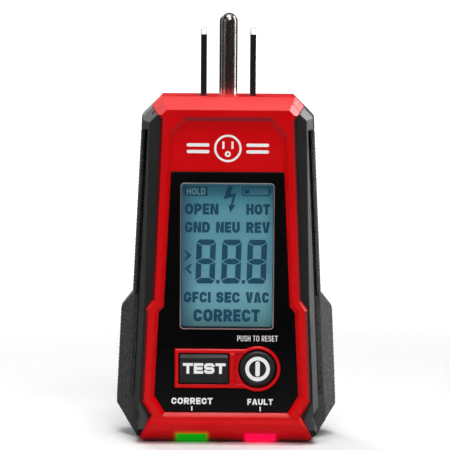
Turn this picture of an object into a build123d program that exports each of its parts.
"""Plug-in outlet tester: a hand-sized body with a liquid-crystal face that hangs on its own three prongs.

Frame: X is the width, Y the depth with the display facing -Y, Z the height with the prongs pointing up.
The origin is the middle of the flat end that the tester stands on, halfway through its depth.
Lengths are in millimetres.
"""

from build123d import *
from math import hypot
from pathlib import Path

# ---------------------------------------------------------------- driving dimensions
BODY_HEIGHT = 89.3  # end to end, without the prongs
FRONT, BACK = -16.0, 16.0  # plane of the red frame, plane of the back
PARTING = -2.0  # depth where the front and rear housings meet

# Standard three-pin plug (NEMA 5-15)
BLADE_SPACING = 12.7
BLADE_THICKNESS, BLADE_WIDTH, BLADE_LENGTH = 1.52, 6.35, 17.6
BLADE_HOLE_RADIUS, BLADE_HOLE_HEIGHT = 1.6, 11.7
PIN_RADIUS, PIN_LENGTH = 2.375, 21.3
PIN_ROOT_RADIUS = 2.55  # the pin is a little thicker inside the body
BLADE_DEPTH = -3.0  # Y of the blades' middle
PIN_DEPTH = BLADE_DEPTH + 11.9

# Right halves of the outlines seen from the front, as (x, z), from the top down.
BODY_LINE = [(17.2, BODY_HEIGHT), (22.3, 84.2), (26.1, 4.65), (23.2, 0)]
GRIP_LINE = [
    (17.2, BODY_HEIGHT),
    (22.2, 84.3),
    (23.2, 40.0),
    (24.5, 10.6),
    (22.0, 7.25),
    (23.5, 4.1),
    (23.45, 3.3),
    (22.75, 2.2),
    (22.05, 2.95),
]
GRIP_SIDE_FOOT = (25.3, -6.0)  # the grip's side carried straight on below the foot
RED_LINE = [(24.0, 93.3), (17.2, 83.8), (19.15, 37.3), (20.75, 34.9), (21.75, 11.5), (19.4, 7.5)]
RED_FOOT = [(22.0, 2.0), (22.1, 0.8), (21.3, 0)]
FACE_LINE = [(10.7, 83.2), (14.0, 79.4), (16.1, 35.7), (17.4, 34.2), (18.45, 12.7), (15.8, 8.4)]
BUMP_LINE = [(24.5, 37.6), (27.6, 33.85), (28.75, 8.3), (22.9, 0)]
FRONT_CAVITY_LINE = [(15.8, 85.9), (18.9, 82.8), (21.2, 10.2), (18.6, 6.6)]
REAR_CAVITY_LINE = [(15.8, 85.9), (18.9, 82.8), (21.6, 8.0), (19.5, 2.4)]

# Front end
TOP_BEVEL, TOP_BEVEL_DEPTH = 3.2, 5.5
TOP_CORNER_X = 15.55  # where the top bevel and the corner bevels meet on the front
FOOT_BEVEL, FOOT_BEVEL_DEPTH = 5.4, 7.5
FRAME_EDGE, FRAME_EDGE_DEPTH = 0.7, 1.2  # falling edge of the frame beside the grips
FACE_DEPTH = 1.0  # the face lies this far below the frame
FACE_SLOPE = 1.1  # width of the sloped wall round the face
FACE = FRONT + FACE_DEPTH
FRONT_WALL = FRONT + 3.0  # inner side of the front wall
GRIP_FRONT = FRONT + FRAME_EDGE_DEPTH
GRIP_BEVEL, GRIP_BEVEL_DEPTH = 1.8, 2.8
GRIP_DRAFT = 0.4  # the sides lean in this much from the groove to the bevel
GRIP_THICKNESS = 1.6
SIDE_THICKNESS = 2.9  # from the body's long sides in to the hard plastic under the grips
TONGUE_BACK = 12.2  # the plug face reaches this far back, over the rear housing
GRIP_BACK = PARTING - 0.5  # leaves a groove before the side pad
SIDE_PAD_FRONT, SIDE_PAD_BACK = PARTING + 0.1, 10.5
SIDE_PAD_TOP, SIDE_PAD_FOOT = 80.6, 2.6
PAD_LIP = 1.05  # width of the pad's front beside the groove
GROOVE_WIDTH = 1.0  # between the grip and the pad
GROOVE_FLOOR = 0.5  # depth of the groove's floor
GROOVE_FOOT = 10.8

# Faceplate, display and buttons
FACEPLATE_TOP = 70.3
FACEPLATE_FLOOR, FACEPLATE_FRONT = FACE + 0.5, FACE - 0.12
WINDOW_HALF, WINDOW_LOW, WINDOW_HIGH = 12.0, 29.9, 67.45
WINDOW_MIDDLE = (WINDOW_LOW + WINDOW_HIGH) / 2
WINDOW_HEIGHT = WINDOW_HIGH - WINDOW_LOW
BUTTON_ROW = 19.8  # height of both buttons
TEST_LEFT, TEST_RIGHT = -12.3, 0.75
TEST_MIDDLE = (TEST_LEFT + TEST_RIGHT) / 2
TEST_WIDTH, TEST_HEIGHT = TEST_RIGHT - TEST_LEFT, 8.1
POWER_X, POWER_OPENING = 8.0, 5.0
BUTTON_GAP = 0.3
BUTTON_TRAVEL = 0.8
BEZEL_FRONT, BEZEL_RADIUS, BEZEL_LEFT = FACE - 0.85, 5.85, -13.25
BEZEL_HEIGHT = 10.1
DISH_FRONT = FACE - 0.35  # sunken red floor round the power button

# Display and board stack, as depths from front to back
GLASS_FRONT, GLASS_BACK = -11.9, -9.7
BACKLIGHT_BACK = -7.2
BOARD_FRONT, BOARD_BACK = -5.2, -3.6
BOARD_LINE = [(11.8, 77.6), (11.8, 72.2), (18.5, 72.2), (20.6, 13.8), (14.0, 13.8), (14.0, 6.9)]
BOARD_SCREWS = [(-16.6, 45.0), (16.6, 45.0)]
SWITCH_FRONT = -8.7

# Battery bay in the back
BAY_HALF, BAY_LOW, BAY_HIGH = 11.8, 10.8, 60.0
BAY_FLOOR, BAY_WALL = 2.6, 1.4
REAR_WALL = 13.6  # inner side of the back wall
CELL_RADIUS, CELL_LENGTH, CELL_X, CELL_DEPTH = 5.25, 44.5, 5.9, 8.0
DOOR_HALF, DOOR_LOW, DOOR_HIGH = 14.05, 7.55, 68.25
DOOR_FRONT = BACK - 1.5
DOOR_GAP = 0.15
DOOR_SCREW_Z = 64.4
TONGUE_X = 7.0

# Screws that hold the housings together
HOUSING_SCREWS = [(-15.2, 75.4), (15.2, 75.4), (-17.2, 10.4), (17.2, 10.4)]
HEAD_SEAT = 2.0


# ---------------------------------------------------------------- helpers
def outline(half):
    """A face in local X-Y, symmetric about X = 0, from its right half listed from the top down."""
    left = [(-x, z) for x, z in reversed(half)]
    return make_face(Polyline(*half, *left, close=True))


def inset(half, amount):
    """The right half of an outline moved inwards by amount, its corners kept sharp."""
    full = half + [(-x, z) for x, z in reversed(half)]
    moved = []
    for before, here, after in zip(full[-1:] + full[:-1], full, full[1:] + full[:1]):
        ax, az = here[0] - before[0], here[1] - before[1]
        bx, bz = after[0] - here[0], after[1] - here[1]
        la, lb = hypot(ax, az), hypot(bx, bz)
        # inward normals of the two edges that meet here
        nax, naz, nbx, nbz = az / la, -ax / la, bz / lb, -bx / lb
        share = amount / (1 + nax * nbx + naz * nbz)
        moved.append((here[0] + (nax + nbx) * share, here[1] + (naz + nbz) * share))
    return moved[: len(half)]


def slab(sketch, front, back):
    """A sketch of (x, z) made solid from one depth to another."""
    return extrude(Plane.XZ.offset(-back) * sketch, back - front)


def tapered(half, y_full, y_small, amount):
    """A solid whose outline is full at one depth and smaller by amount, all round, at another."""
    full = Plane.XZ.offset(-y_full) * outline(half)
    small = Plane.XZ.offset(-y_small) * outline(inset(half, amount))
    return loft([full, small], ruled=True)


def block(x, y, z):
    """A box from three (low, high) pairs."""
    spans = (x, y, z)
    middle = [(low + high) / 2 for low, high in spans]
    return Pos(*middle) * Box(*[high - low for low, high in spans])


def rod(x, z, radius, front, back):
    """A cylinder along Y."""
    return slab(Pos(x, z) * Circle(radius), front, back)


def bar(y, z, radius, low, high):
    """A cylinder along X."""
    return Pos((low + high) / 2, y, z) * Rot(0, 90, 0) * Cylinder(radius, high - low)


def post(x, y, radius, low, high):
    """A cylinder along Z."""
    return Pos(x, y, (low + high) / 2) * Cylinder(radius, high - low)


def cross_recess(x, z, back, width, depth):
    """The cross-shaped driver recess of a screw whose head faces +Y."""
    slot = Rectangle(width, width / 5) + Rectangle(width / 5, width)
    return slab(Pos(x, z) * slot, back - depth, back)


# ---------------------------------------------------------------- shared envelopes
def side_profile():
    """Side view of the front end, wide in X: top bevel, straight face and rounded foot bevel."""
    foot_back = FRONT + FOOT_BEVEL_DEPTH
    with_arc = Polyline(
        (foot_back, 0),
        (BACK, 0),
        (BACK, BODY_HEIGHT),
        (FRONT + TOP_BEVEL_DEPTH, BODY_HEIGHT),
        (FRONT, BODY_HEIGHT - TOP_BEVEL),
        (FRONT, FOOT_BEVEL),
    )
    bulge = 0.9  # how far the foot bevel swells beyond a flat chamfer
    middle = (
        (FRONT + foot_back) / 2 - bulge * FOOT_BEVEL / 9,
        FOOT_BEVEL / 2 - bulge * FOOT_BEVEL_DEPTH / 9,
    )
    arc = ThreePointArc((FRONT, FOOT_BEVEL), middle, (foot_back, 0))
    profile = Plane.YZ * make_face(with_arc + arc)
    return extrude(profile, 40, both=True)


def top_corners():
    """Wide solid whose only real faces are the bevels of the top edge and its two corners."""
    def below(x, z):
        reach = 60
        return outline([(x, z), (x + reach, z - reach), (x + reach, -reach)])

    bevel_back = FRONT + TOP_BEVEL_DEPTH
    wide = below(BODY_LINE[0][0], BODY_HEIGHT)
    narrow = below(TOP_CORNER_X, BODY_HEIGHT - TOP_BEVEL)
    bevels = loft([Plane.XZ.offset(-bevel_back) * wide, Plane.XZ.offset(-FRONT) * narrow], ruled=True)
    return bevels + slab(wide, bevel_back, BACK)


def red_zone():
    """Everything that is red when seen from the front, with the falling edge beside the grips."""
    return tapered(RED_LINE + RED_FOOT, GRIP_FRONT, FRONT, FRAME_EDGE) + slab(
        outline(RED_LINE + RED_FOOT), GRIP_FRONT, BACK
    )


def front_end():
    """The red end pieces and frame as one solid block, before it is hollowed."""
    body = slab(outline(BODY_LINE), FRONT, PARTING)
    return body & side_profile() & top_corners() & red_zone()


def side_line(inwards):
    """Right half of a tall shape whose side runs along the body's long side, moved inwards."""
    (x_high, z_high), (x_low, z_low) = BODY_LINE[1:3]
    lean = (x_low - x_high) / (z_high - z_low)
    above, below = 12.0, 12.0
    return [
        (x_high - inwards - lean * above, z_high + above),
        (x_low - inwards + lean * below, z_low - below),
    ]


def groove_zone(inwards, front, back, foot=GROOVE_FOOT):
    """Everything outside the body's long sides moved inwards, beside the side pads."""
    zone = block((-40, 40), (front, back), (foot, SIDE_PAD_TOP + 0.3))
    return zone - slab(outline(side_line(inwards)), front, back)


def grip_core():
    """The hard plastic under the two rubber grips."""
    line = outline(inset(GRIP_LINE[:6], GRIP_THICKNESS)) & outline(side_line(SIDE_THICKNESS))
    return slab(line, GRIP_FRONT + GRIP_THICKNESS, PARTING)


def top_tongue():
    """The part of the plug face that the front housing carries back over the rear housing."""
    shell = slab(outline(BODY_LINE), PARTING, TONGUE_BACK)
    shell -= slab(outline(inset(BODY_LINE, 3.4)), PARTING, TONGUE_BACK)
    upper = [(24.0, 93.3), (17.2, 83.8), (16.6, 83.0)]
    return shell & slab(outline(upper), PARTING, TONGUE_BACK)


def prong_openings(clearance):
    """Two slots and a round hole through the plug face."""
    cut = post(0, PIN_DEPTH, PIN_ROOT_RADIUS + clearance, 84, 90)
    for side in (-1, 1):
        x = side * BLADE_SPACING / 2
        half_t = BLADE_THICKNESS / 2 + clearance
        half_w = BLADE_WIDTH / 2 + clearance
        cut += block(
            (x - half_t, x + half_t), (BLADE_DEPTH - half_w, BLADE_DEPTH + half_w), (84, 90)
        )
    return cut


# ---------------------------------------------------------------- housings and grips
def bezel_shape(grow=0.0):
    """Front view of the raised ring round the buttons: a bar that ends in a circle."""
    bar_right = POWER_X
    frame = Pos((BEZEL_LEFT + bar_right) / 2, BUTTON_ROW) * Rectangle(
        bar_right - BEZEL_LEFT + 2 * grow, BEZEL_HEIGHT + 2 * grow
    )
    return frame + Pos(POWER_X, BUTTON_ROW) * Circle(BEZEL_RADIUS + grow)


def bezel():
    """The raised red ring with a shallow dish round the power button."""
    ring = slab(bezel_shape(), BEZEL_FRONT, FRONT_WALL)
    front_edges = ring.edges().filter_by_position(Axis.Y, BEZEL_FRONT - 0.01, BEZEL_FRONT + 0.01)
    ring = chamfer(front_edges, 0.3)
    dish = Pos(POWER_X, BUTTON_ROW) * Circle(BEZEL_RADIUS - 0.75)
    dish += Pos(POWER_X - 2.8, BUTTON_ROW) * Rectangle(5.6, TEST_HEIGHT)
    return ring - slab(dish, BEZEL_FRONT, DISH_FRONT)


def button_openings():
    """Holes for the two caps, through the bezel and the front wall."""
    test = Pos(TEST_MIDDLE, BUTTON_ROW) * RectangleRounded(TEST_WIDTH, TEST_HEIGHT, 0.4)
    power = Pos(POWER_X, BUTTON_ROW) * Circle(POWER_OPENING)
    return slab(test + power, FRONT - 1, FRONT_WALL + 1)


def face_recess():
    """The sunken face: a flat floor with a sloped wall all round."""
    wide = inset(FACE_LINE, -FACE_SLOPE)
    floor = Plane.XZ.offset(-FACE) * outline(FACE_LINE)
    rim = Plane.XZ.offset(-FRONT) * outline(wide)
    clear = slab(outline(wide), FRONT - 2, FRONT)
    return loft([floor, rim], ruled=True) + clear


def faceplate_line():
    """Right half of the faceplate: the face below the nameplate area."""
    top_x = FACE_LINE[1][0] + (FACE_LINE[2][0] - FACE_LINE[1][0]) * (
        (FACE_LINE[1][1] - FACEPLATE_TOP) / (FACE_LINE[1][1] - FACE_LINE[2][1])
    )
    return [(top_x, FACEPLATE_TOP)] + FACE_LINE[2:]


def window_sketch(margin=0.0, radius=1.0):
    """The display opening, grown by a margin."""
    size = (2 * (WINDOW_HALF + margin), WINDOW_HEIGHT + 2 * margin)
    return Pos(0, WINDOW_MIDDLE) * RectangleRounded(*size, radius)


def light_pipe_zone(side):
    """The space that one indicator window fills in the foot bevel."""
    low, high = sorted((side * 5.1, side * 12.65))
    return block((low, high), (FRONT, FRONT + FOOT_BEVEL_DEPTH + 1.5), (0, 2.5))


def light_pipe_stem(side):
    """The stem that carries light from a diode down to its window."""
    return block((side * 8.8 - 2.2, side * 8.8 + 2.2), (-10.2, -7.6), (2.5, 6.6))


def front_housing():
    shell = front_end() + grip_core() + top_tongue()
    shell -= slab(outline(FRONT_CAVITY_LINE), FRONT_WALL, PARTING)
    shell -= block((-17, 17), (-7.4, PARTING), (2.4, 7.0))
    shell -= face_recess()
    shell -= slab(outline(faceplate_line()), FRONT - 1, FACEPLATE_FLOOR)
    shell -= slab(window_sketch(0.3), FRONT - 1, FRONT_WALL + 1)
    shell += bezel()
    shell -= button_openings()
    shell -= prong_openings(0.08)
    for side in (-1, 1):
        shell -= light_pipe_zone(side) + light_pipe_stem(side)
    for x, z in HOUSING_SCREWS:
        shell += rod(x, z, 2.7, FRONT_WALL, PARTING) - rod(x, z, 1.35, PARTING - 9, PARTING)
    for x, z in BOARD_SCREWS:
        shell += rod(x, z, 1.7, FRONT_WALL, BOARD_FRONT) - rod(x, z, 0.95, -10, BOARD_FRONT)
    return shell


def grip(side):
    """The rubber that wraps one side of the front housing."""
    bevel_back = GRIP_FRONT + GRIP_BEVEL_DEPTH
    sides = GRIP_LINE[:3] + [GRIP_SIDE_FOOT]
    skin = tapered(sides, GRIP_BACK, bevel_back, GRIP_DRAFT)
    skin += tapered(inset(sides, GRIP_DRAFT), bevel_back, GRIP_FRONT, GRIP_BEVEL)
    skin = skin & slab(outline(GRIP_LINE), GRIP_FRONT, GRIP_BACK) & side_profile() & top_corners()
    skin -= slab(outline(RED_LINE + RED_FOOT), FRONT, BACK) + grip_core()
    skin -= groove_zone(PAD_LIP + GROOVE_WIDTH, FRONT, GRIP_BACK, foot=0)
    low, high = sorted((0, side * 40))
    return skin & block((low, high), (FRONT, BACK), (-1, 95))


def bump():
    """The flared lower part of the right side pad, where thumb and finger pull the plug out."""
    lean = (BUMP_LINE[1][0] - BUMP_LINE[2][0]) / (BUMP_LINE[1][1] - BUMP_LINE[2][1])
    section = Polyline(
        (21, SIDE_PAD_FRONT),
        (25.2, SIDE_PAD_FRONT),
        (29.2, 2.4),
        (29.6, 3.6),
        (29.6, 8.0),
        (27.2, SIDE_PAD_BACK),
        (21, SIDE_PAD_BACK),
        close=True,
    )
    height = BODY_HEIGHT / 2
    swept = extrude(make_face(section), amount=height, dir=(lean, 0, 1))
    line = make_face(Polyline(*BUMP_LINE, (21, 0), (21, 37.6), close=True))
    return swept & slab(line, SIDE_PAD_FRONT, SIDE_PAD_BACK)


def side_pad_space():
    """The part of the body's sides that the right side pad takes up."""
    line = Polyline(
        (20.3, SIDE_PAD_TOP), (40, SIDE_PAD_TOP), (40, SIDE_PAD_FOOT), (20.3, SIDE_PAD_FOOT), close=True
    )
    zone = slab(make_face(line), SIDE_PAD_FRONT, SIDE_PAD_BACK)
    zone -= slab(outline(inset(BODY_LINE, 1.7)), SIDE_PAD_FRONT, SIDE_PAD_BACK)
    return zone + block((21.9, 30), (SIDE_PAD_FRONT, -0.2), (SIDE_PAD_FOOT, GROOVE_FOOT))


def side_pad(side):
    """Soft side panel: a slim strip above, flaring into the bump below."""
    slope_back = SIDE_PAD_FRONT + 1.2
    strip = slab(outline(BODY_LINE), slope_back, SIDE_PAD_BACK)
    strip += tapered(BODY_LINE, slope_back, SIDE_PAD_FRONT, 0.3)
    pad = (strip + bump()) & side_pad_space()
    beside = block((0, 40), (SIDE_PAD_FRONT, GROOVE_FLOOR), (GROOVE_FOOT, SIDE_PAD_TOP))
    pad -= beside & slab(outline(side_line(PAD_LIP)), SIDE_PAD_FRONT, GROOVE_FLOOR)
    return pad if side > 0 else mirror(pad, about=Plane.YZ)


def door_outline(grow=0.0):
    size = (2 * (DOOR_HALF + grow), DOOR_HIGH - DOOR_LOW + 2 * grow)
    return Pos(0, (DOOR_LOW + DOOR_HIGH) / 2) * RectangleRounded(*size, 2.0)


def rear_housing():
    bevel_start = 12.0
    shell = slab(outline(BODY_LINE), PARTING, bevel_start)
    shell += tapered(BODY_LINE, bevel_start, BACK, 3.8)
    shell -= slab(outline(REAR_CAVITY_LINE), PARTING, REAR_WALL)
    pad_space = side_pad_space()
    shell -= pad_space + mirror(pad_space, about=Plane.YZ)
    shell -= groove_zone(PAD_LIP + GROOVE_WIDTH + 0.4, PARTING, GROOVE_FLOOR)
    shell -= top_tongue() + block((-15.5, 15.5), (PARTING, TONGUE_BACK), (80, 90))
    # battery bay
    shell += block(
        (-BAY_HALF - BAY_WALL, BAY_HALF + BAY_WALL),
        (BAY_FLOOR - BAY_WALL, REAR_WALL),
        (BAY_LOW - BAY_WALL, BAY_HIGH + BAY_WALL),
    )
    shell -= block((-BAY_HALF, BAY_HALF), (BAY_FLOOR, BACK), (BAY_LOW, BAY_HIGH))
    shell -= slab(door_outline(DOOR_GAP), DOOR_FRONT - 0.1, BACK)
    shell += rod(0, DOOR_SCREW_Z, 3.4, 8.0, REAR_WALL)
    shell -= rod(0, DOOR_SCREW_Z, 2.2, 9.6, DOOR_FRONT - 0.1)
    for side in (-1, 1):
        x = side * TONGUE_X
        shell -= block((x - 2.4, x + 2.4), (13.95, 15.45), (5.9, DOOR_LOW))
    # screw bosses, open at the back
    for x, z in HOUSING_SCREWS:
        shell += rod(x, z, 3.3, PARTING, REAR_WALL)
        shell -= rod(x, z, 2.5, HEAD_SEAT, BACK) + rod(x, z, 1.5, PARTING, HEAD_SEAT)
    return shell


# ---------------------------------------------------------------- faceplate and display
def faceplate():
    plate = slab(outline(inset(faceplate_line(), 0.08)), FACEPLATE_FRONT, FACEPLATE_FLOOR)
    plate -= slab(window_sketch(0.1), FACEPLATE_FRONT, FACEPLATE_FLOOR)
    return plate - slab(bezel_shape(0.1), FACEPLATE_FRONT, FACEPLATE_FLOOR)


def display_window():
    """Clear pane with a bevelled rim that stands a little proud of the faceplate."""
    pane = slab(window_sketch(), FACE - 0.4, -14.1)
    rim = pane.edges().filter_by_position(Axis.Y, FACE - 0.41, FACE - 0.39)
    return chamfer(rim, 0.3)


def lcd_frame():
    """Black shroud between the pane and the glass."""
    tube = slab(window_sketch(0.2), -14.1, FRONT_WALL)
    flange = slab(Pos(0, 48.7) * RectangleRounded(29.6, 45.2, 1.0), FRONT_WALL, GLASS_FRONT)
    return tube + flange - slab(window_sketch(-0.35, 0.7), FRONT, GLASS_FRONT)


def lcd_glass():
    return block((-13.2, 13.2), (GLASS_FRONT, GLASS_BACK), (27.5, 70.0))


def lcd_backlight():
    return block((-13.2, 13.2), (GLASS_BACK, BACKLIGHT_BACK), (30.2, 67.3))


def lcd_zebra_strips():
    low = block((-12.0, 12.0), (GLASS_BACK, BOARD_FRONT), (27.9, 29.8))
    high = block((-12.0, 12.0), (GLASS_BACK, BOARD_FRONT), (67.6, 69.5))
    return Compound([low, high])


# ---------------------------------------------------------------- buttons and switches
def test_button():
    cap_size = (TEST_WIDTH - 2 * BUTTON_GAP, TEST_HEIGHT - 2 * BUTTON_GAP)
    cap = slab(
        Pos(TEST_MIDDLE, BUTTON_ROW) * RectangleRounded(*cap_size, 0.5), FRONT, FRONT_WALL + 0.1
    )
    cap = fillet(cap.faces().sort_by(Axis.Y)[0].edges(), 0.2)
    top = BUTTON_ROW + cap_size[1] / 2
    brow = Polyline(
        (FRONT - 0.5, top - 1.9), (FRONT + 1.0, top + 0.95), (FRONT - 0.5, top + 0.95), close=True
    )
    cap -= extrude(Plane.YZ * make_face(brow), 30, both=True)
    flange = Pos(TEST_MIDDLE, BUTTON_ROW) * Rectangle(cap_size[0] + 1.8, cap_size[1] + 1.8)
    stem = Pos(TEST_MIDDLE, BUTTON_ROW) * Circle(1.9)
    return cap + slab(flange, FRONT_WALL + 0.1, -12.1) + slab(stem, -12.1, SWITCH_FRONT - 1.2)


def power_button():
    """Round cap with a crowned rim and a slightly sunken middle, turned about its own axis."""
    radius = POWER_OPENING - BUTTON_GAP
    crown, base = FRONT + 0.02, -12.1
    half = Line((0, crown + 0.35), (2.6, crown + 0.35))
    rise = Spline(
        (2.6, crown + 0.35),
        (3.5, crown + 0.05),
        (radius, crown + 0.9),
        tangents=((1, 0), (0.05, 1)),
    )
    edge = Polyline(
        (radius, crown + 0.9),
        (radius, FRONT_WALL + 0.1),
        (radius + 0.9, FRONT_WALL + 0.1),
        (radius + 0.9, base),
        (1.9, base),
        (1.9, SWITCH_FRONT - 1.2),
        (0, SWITCH_FRONT - 1.2),
        (0, crown + 0.35),
    )
    profile = make_face(half + rise + edge)
    return Pos(POWER_X, 0, BUTTON_ROW) * revolve(profile, Axis.Y)


def switch_body(x):
    case = block((x - 3, x + 3), (SWITCH_FRONT, BOARD_FRONT), (BUTTON_ROW - 3, BUTTON_ROW + 3))
    return case - rod(x, BUTTON_ROW, 1.85, SWITCH_FRONT, BOARD_FRONT - 0.6)


def switch_plunger(x):
    return rod(x, BUTTON_ROW, 1.75, SWITCH_FRONT - 1.2, BOARD_FRONT - 1.6)


def switch_dome(x):
    """Snap dome under the plunger: a shallow sprung disc that flattens when the button is pressed."""
    foot, crown = BOARD_FRONT - 0.6, BOARD_FRONT - 1.6
    dome = Polyline((0, crown), (0.4, crown), (1.6, foot), (1.2, foot), (0.3, crown + 0.2), (0, crown + 0.2))
    return Pos(x, 0, BUTTON_ROW) * revolve(make_face(dome + Line((0, crown + 0.2), (0, crown))), Axis.Y)


# ---------------------------------------------------------------- indicators
def light_pipe(side):
    window = light_pipe_zone(side) & side_profile()
    return window + light_pipe_stem(side)


def indicator_led(side):
    x = side * 8.8
    return block((x - 1.6, x + 1.6), (-7.4, BOARD_FRONT), (7.0, 9.8))


# ---------------------------------------------------------------- prongs
def blade(side):
    x = side * BLADE_SPACING / 2
    half_t = BLADE_THICKNESS / 2
    tip = BODY_HEIGHT + BLADE_LENGTH
    flat = block(
        (x - half_t, x + half_t),
        (BLADE_DEPTH - BLADE_WIDTH / 2, BLADE_DEPTH + BLADE_WIDTH / 2),
        (79.6, tip),
    )
    top = flat.faces().sort_by(Axis.Z)[-1]
    flat = chamfer(top.edges().filter_by(Axis.X), 1.7, 1.9)
    top = flat.faces().sort_by(Axis.Z)[-1]
    flat = chamfer(top.edges().filter_by(Axis.Y), 0.3)
    hole = bar(BLADE_DEPTH, BODY_HEIGHT + BLADE_HOLE_HEIGHT, BLADE_HOLE_RADIUS, x - 2, x + 2)
    tail = block((x - 0.4, x + 0.4), (BOARD_BACK, BLADE_DEPTH + 1.6), (74.0, 79.6))
    return flat - hole + tail


def ground_pin():
    tip = BODY_HEIGHT + PIN_LENGTH
    shank = post(0, PIN_DEPTH, PIN_RADIUS, BODY_HEIGHT, tip - PIN_RADIUS)
    end = Pos(0, PIN_DEPTH, tip - PIN_RADIUS) * Sphere(PIN_RADIUS)
    root = post(0, PIN_DEPTH, PIN_ROOT_RADIUS, 79.6, BODY_HEIGHT)
    return shank + end + root + post(0, PIN_DEPTH, 3.3, 80.6, 82.2)


def prong_carrier():
    """Insulating block that the blades and the pin are moulded into."""
    body = block((-11.5, 11.5), (-7.6, 13.2), (79.6, 85.8))
    return body - blade(-1) - blade(1) - ground_pin()


def ground_strap():
    """Formed strip from the root of the ground pin to the board."""
    flat = block((-1.6, 1.6), (BOARD_BACK + 0.8, PIN_DEPTH + 2.0), (78.8, 79.6))
    leg = block((-1.6, 1.6), (BOARD_BACK, BOARD_BACK + 0.8), (74.5, 79.6))
    return flat + leg


# ---------------------------------------------------------------- board and its components
def main_board():
    board = slab(outline(BOARD_LINE), BOARD_FRONT, BOARD_BACK)
    for x, z in BOARD_SCREWS:
        board -= rod(x, z, 1.1, BOARD_FRONT, BOARD_BACK)
    return board


def board_screws():
    screws = []
    for x, z in BOARD_SCREWS:
        head = rod(x, z, 1.9, BOARD_BACK, BOARD_BACK + 1.2)
        head -= cross_recess(x, z, BOARD_BACK + 1.2, 2.0, 0.6)
        screws.append(head + rod(x, z, 0.9, -9.6, BOARD_BACK))
    return Compound(screws)


def microcontroller():
    return block((-5.0, 5.0), (BOARD_BACK, BOARD_BACK + 1.5), (38.0, 48.0))


def fuse():
    """Glass fuse lying across the board, with its two end caps as slightly thicker collars."""
    y = BOARD_BACK + 1.9
    body = bar(y, 70.6, 1.6, -8.0, 2.0)
    return body + bar(y, 70.6, 1.85, -8.0, -6.2) + bar(y, 70.6, 1.85, 0.2, 2.0)


def test_resistor():
    """Power resistor that draws the ground-fault test current."""
    return bar(BOARD_BACK + 2.3, 64.8, 2.2, -9.0, 5.0)


def surge_disc():
    return Pos(12.6, BOARD_BACK + 3.9, 67.0) * Rot(0, 90, 0) * Cylinder(3.8, 3.0)


def filter_capacitor():
    return rod(-14.0, 66.6, 3.1, BOARD_BACK, BOARD_BACK + 8.0)


def buzzer():
    return rod(15.2, 33.0, 3.4, BOARD_BACK, BOARD_BACK + 3.6)


# ---------------------------------------------------------------- batteries
def cell(side):
    """One small dry cell; the left one has its button end up, the right one down."""
    x, button = side * CELL_X, 1.2
    if side < 0:
        low = BAY_HIGH - 0.4 - CELL_LENGTH
        body = post(x, CELL_DEPTH, CELL_RADIUS, low, low + CELL_LENGTH - button)
        return body + post(x, CELL_DEPTH, 1.9, low + CELL_LENGTH - button, low + CELL_LENGTH)
    low = BAY_LOW + 0.4
    body = post(x, CELL_DEPTH, CELL_RADIUS, low + button, low + CELL_LENGTH)
    return body + post(x, CELL_DEPTH, 1.9, low, low + button)


def battery_spring(side):
    """Coil that presses on the flat end of one cell."""
    wire, gap, turns = 0.3, 0.02, 3
    room = BAY_HIGH - BAY_LOW - 0.4 - CELL_LENGTH
    rise = room - 2 * wire - 2 * gap
    path = Helix(rise / turns, rise, 3.2)
    section = Plane(origin=path @ 0, z_dir=path % 0) * Circle(wire)
    coil = sweep(section, path=path, is_frenet=True)
    if side < 0:
        return Pos(side * CELL_X, CELL_DEPTH, BAY_LOW + wire + gap) * coil
    return Pos(side * CELL_X, CELL_DEPTH, BAY_HIGH - wire - gap) * Rot(180, 0, 0) * coil


def battery_contact_plates():
    high = block((-CELL_X - 3.4, -CELL_X + 3.4), (4.4, 11.6), (BAY_HIGH - 0.4, BAY_HIGH))
    low = block((CELL_X - 3.4, CELL_X + 3.4), (4.4, 11.6), (BAY_LOW, BAY_LOW + 0.4))
    return Compound([high, low])


def battery_door():
    plate = slab(door_outline(), DOOR_FRONT, BACK)
    rim = plate.edges().filter_by_position(Axis.Y, BACK - 0.01, BACK + 0.01)
    plate = chamfer(rim.filter_by_position(Axis.Z, DOOR_LOW + 1, DOOR_HIGH + 1), 0.3)
    lip_size = (2 * BAY_HALF - 0.5, BAY_HIGH - BAY_LOW - 0.8)
    lip = Pos(0, (BAY_LOW + BAY_HIGH) / 2 + 0.1) * (
        Rectangle(*lip_size) - Rectangle(lip_size[0] - 2.4, lip_size[1] - 2.4)
    )
    plate += slab(lip, REAR_WALL + 0.1, DOOR_FRONT)
    for side in (-1, 1):
        x = side * TONGUE_X
        plate += block((x - 2.0, x + 2.0), (14.7, 15.25), (6.3, DOOR_LOW + 0.5))
    for step in range(5):
        z = 14.0 + step * 2.2
        plate -= slab(Pos(0, z) * Rectangle(14.0 - step * 2.0, 0.8), BACK - 0.5, BACK)
    plate -= rod(0, DOOR_SCREW_Z, 2.45, BACK - 1.0, BACK)
    return plate - rod(0, DOOR_SCREW_Z, 1.3, DOOR_FRONT, BACK)


def battery_door_screw():
    head = rod(0, DOOR_SCREW_Z, 2.3, BACK - 1.0, BACK - 0.05)
    head -= cross_recess(0, DOOR_SCREW_Z, BACK - 0.05, 2.6, 0.6)
    return head + rod(0, DOOR_SCREW_Z, 1.2, 12.2, BACK - 1.0)


def door_screw_insert():
    """Brass thread insert in the boss behind the door's screw."""
    return rod(0, DOOR_SCREW_Z, 2.2, 9.6, REAR_WALL) - rod(0, DOOR_SCREW_Z, 1.6, 10.0, REAR_WALL)


def battery_foam():
    """Foam pad inside the door that keeps the cells from rattling."""
    return block((-9.5, 9.5), (REAR_WALL - 0.3, DOOR_FRONT), (24.0, 46.0))


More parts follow.
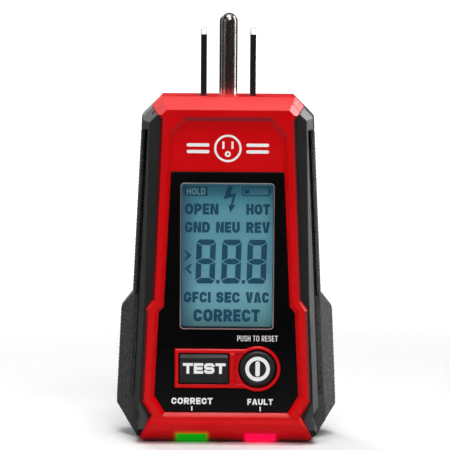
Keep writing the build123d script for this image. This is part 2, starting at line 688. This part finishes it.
# ---------------------------------------------------------------- housing screws
def housing_screws():
    screws = []
    for x, z in HOUSING_SCREWS:
        head = rod(x, z, 2.3, HEAD_SEAT, HEAD_SEAT + 1.6)
        head -= cross_recess(x, z, HEAD_SEAT + 1.6, 2.6, 0.9)
        screws.append(head + rod(x, z, 1.3, -10.2, HEAD_SEAT))
    return Compound(screws)


# ---------------------------------------------------------------- writing the nodes
def nodes():
    """Every separate piece, by name."""
    return {
        "front_housing": front_housing(),
        "rear_housing": rear_housing(),
        "left_grip": grip(-1),
        "right_grip": grip(1),
        "left_side_pad": side_pad(-1),
        "right_side_pad": side_pad(1),
        "faceplate": faceplate(),
        "display_window": display_window(),
        "lcd_frame": lcd_frame(),
        "lcd_glass": lcd_glass(),
        "lcd_backlight": lcd_backlight(),
        "lcd_zebra_strips": lcd_zebra_strips(),
        "test_button": test_button(),
        "power_button": power_button(),
        "test_switch_body": switch_body(TEST_MIDDLE),
        "test_switch_plunger": switch_plunger(TEST_MIDDLE),
        "test_switch_dome": switch_dome(TEST_MIDDLE),
        "power_switch_body": switch_body(POWER_X),
        "power_switch_plunger": switch_plunger(POWER_X),
        "power_switch_dome": switch_dome(POWER_X),
        "correct_light_pipe": light_pipe(-1),
        "fault_light_pipe": light_pipe(1),
        "correct_led": indicator_led(-1),
        "fault_led": indicator_led(1),
        "neutral_blade": blade(-1),
        "line_blade": blade(1),
        "ground_pin": ground_pin(),
        "prong_carrier": prong_carrier(),
        "ground_strap": ground_strap(),
        "main_board": main_board(),
        "board_screws": board_screws(),
        "microcontroller": microcontroller(),
        "fuse": fuse(),
        "test_resistor": test_resistor(),
        "surge_disc": surge_disc(),
        "filter_capacitor": filter_capacitor(),
        "buzzer": buzzer(),
        "battery_cell_left": cell(-1),
        "battery_cell_right": cell(1),
        "battery_spring_left": battery_spring(-1),
        "battery_spring_right": battery_spring(1),
        "battery_contact_plates": battery_contact_plates(),
        "battery_door": battery_door(),
        "battery_door_screw": battery_door_screw(),
        "door_screw_insert": door_screw_insert(),
        "battery_foam": battery_foam(),
        "housing_screws": housing_screws(),
    }


def main():
    folder = Path("parts")
    folder.mkdir(exist_ok=True)
    for name, shape in nodes().items():
        export_step(shape, folder / f"{name}.step")


main()
